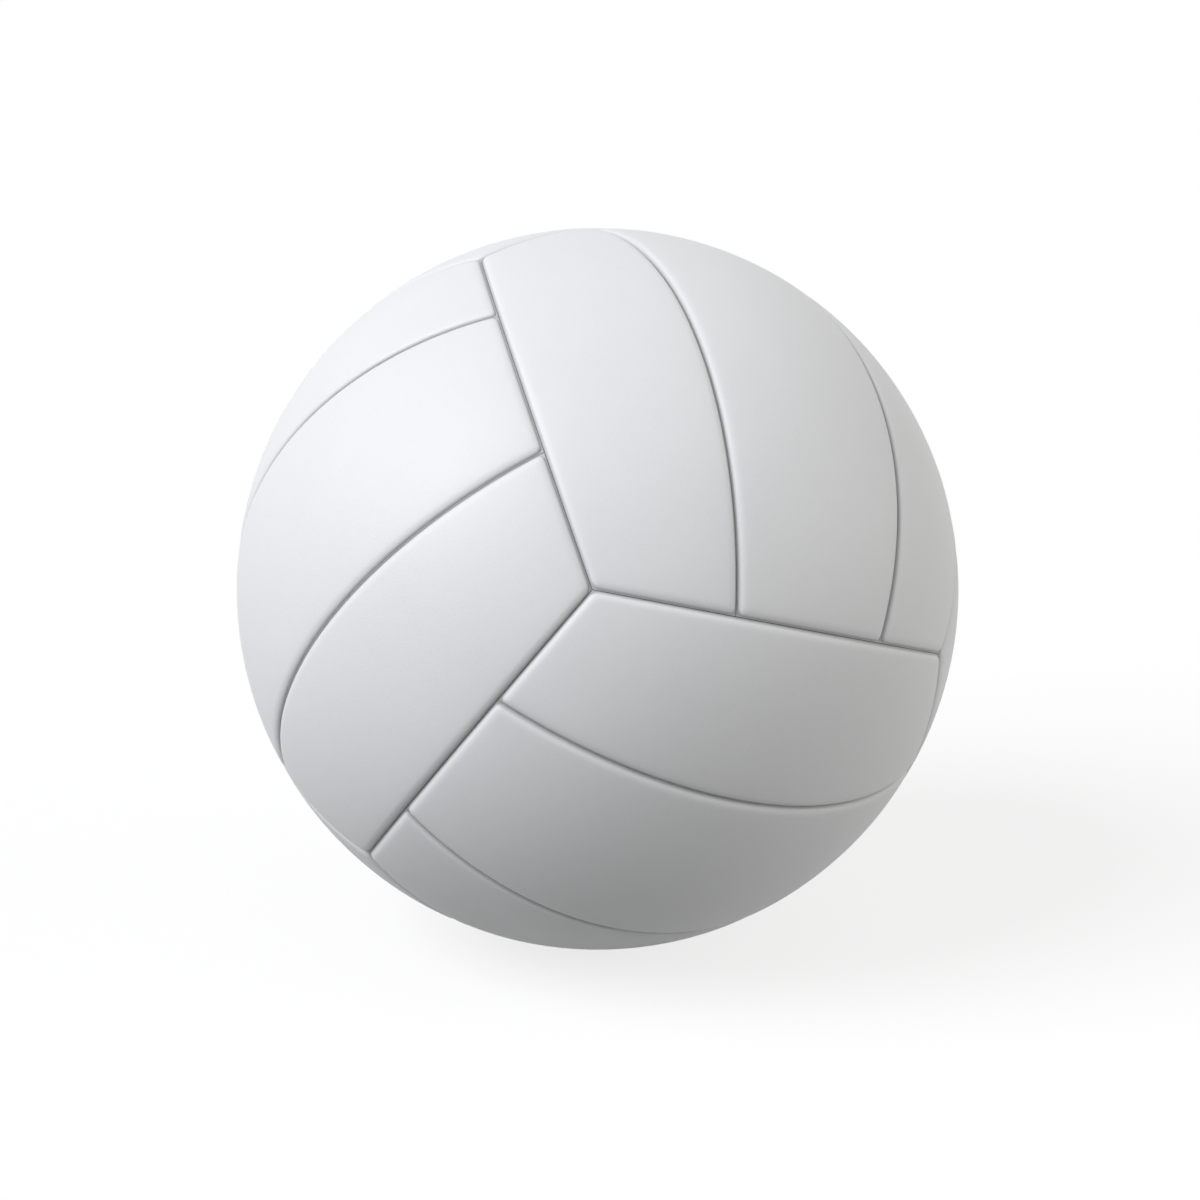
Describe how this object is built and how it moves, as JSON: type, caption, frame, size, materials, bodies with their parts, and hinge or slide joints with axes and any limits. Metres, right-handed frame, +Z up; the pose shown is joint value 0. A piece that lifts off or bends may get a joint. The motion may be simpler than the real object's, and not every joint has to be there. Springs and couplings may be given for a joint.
{
  "type": "volleyball",
  "caption": "Plain white volleyball with a cover of glued leather strips on foam, over a rubber-coated wound bladder with a needle valve whose plug pulls out.",
  "frame": {"origin": "centre of the ball", "axes": "+Z up as the ball lies in the picture, -Y towards the viewer, and +X to the viewer's right; the front three-way corner of the cover looks along -Y and a little up"},
  "size_m": [0.21, 0.21, 0.21],
  "materials": {
    "cover_leather": "satin",
    "foam_backing": "matte",
    "coat_rubber": "matte",
    "winding_thread": "matte",
    "bladder_rubber": "satin",
    "valve_rubber": "satin"
  },
  "bodies": {
    "ball": {"panel_front_bottom_corner": "cover_leather", "panel_front_bottom_centre": "cover_leather", "panel_front_bottom_outer": "cover_leather", "panel_front_top_corner": "cover_leather", "panel_front_top_centre": "cover_leather", "panel_front_top_outer": "cover_leather", "panel_front_left_corner": "cover_leather", "panel_front_left_centre": "cover_leather", "panel_front_left_outer": "cover_leather", "panel_back_top_corner": "cover_leather", "panel_back_top_centre": "cover_leather", "panel_back_top_outer": "cover_leather", "panel_back_bottom_corner": "cover_leather", "panel_back_bottom_centre": "cover_leather", "panel_back_bottom_outer": "cover_leather", "panel_back_right_corner": "cover_leather", "panel_back_right_centre": "cover_leather", "panel_back_right_outer": "cover_leather", "foam_front_bottom_corner": "foam_backing", "foam_front_bottom_centre": "foam_backing", "foam_front_bottom_outer": "foam_backing", "foam_front_top_corner": "foam_backing", "foam_front_top_centre": "foam_backing", "foam_front_top_outer": "foam_backing", "foam_front_left_corner": "foam_backing", "foam_front_left_centre": "foam_backing", "foam_front_left_outer": "foam_backing", "foam_back_top_corner": "foam_backing", "foam_back_top_centre": "foam_backing", "foam_back_top_outer": "foam_backing", "foam_back_bottom_corner": "foam_backing", "foam_back_bottom_centre": "foam_backing", "foam_back_bottom_outer": "foam_backing", "foam_back_right_corner": "foam_backing", "foam_back_right_centre": "foam_backing", "foam_back_right_outer": "foam_backing", "rubber_coat": "coat_rubber", "thread_winding": "winding_thread", "bladder": "bladder_rubber", "valve_seat": "valve_rubber"},
    "valve_plug": {"valve_plug": "valve_rubber"}
  },
  "joints": [
    {"name": "valve_plug_pull", "type": "slide", "parent": "ball", "child": "valve_plug", "axis": [-0.2726, 0.7569, 0.594], "range_m": [0, 0.03]}
  ]
}
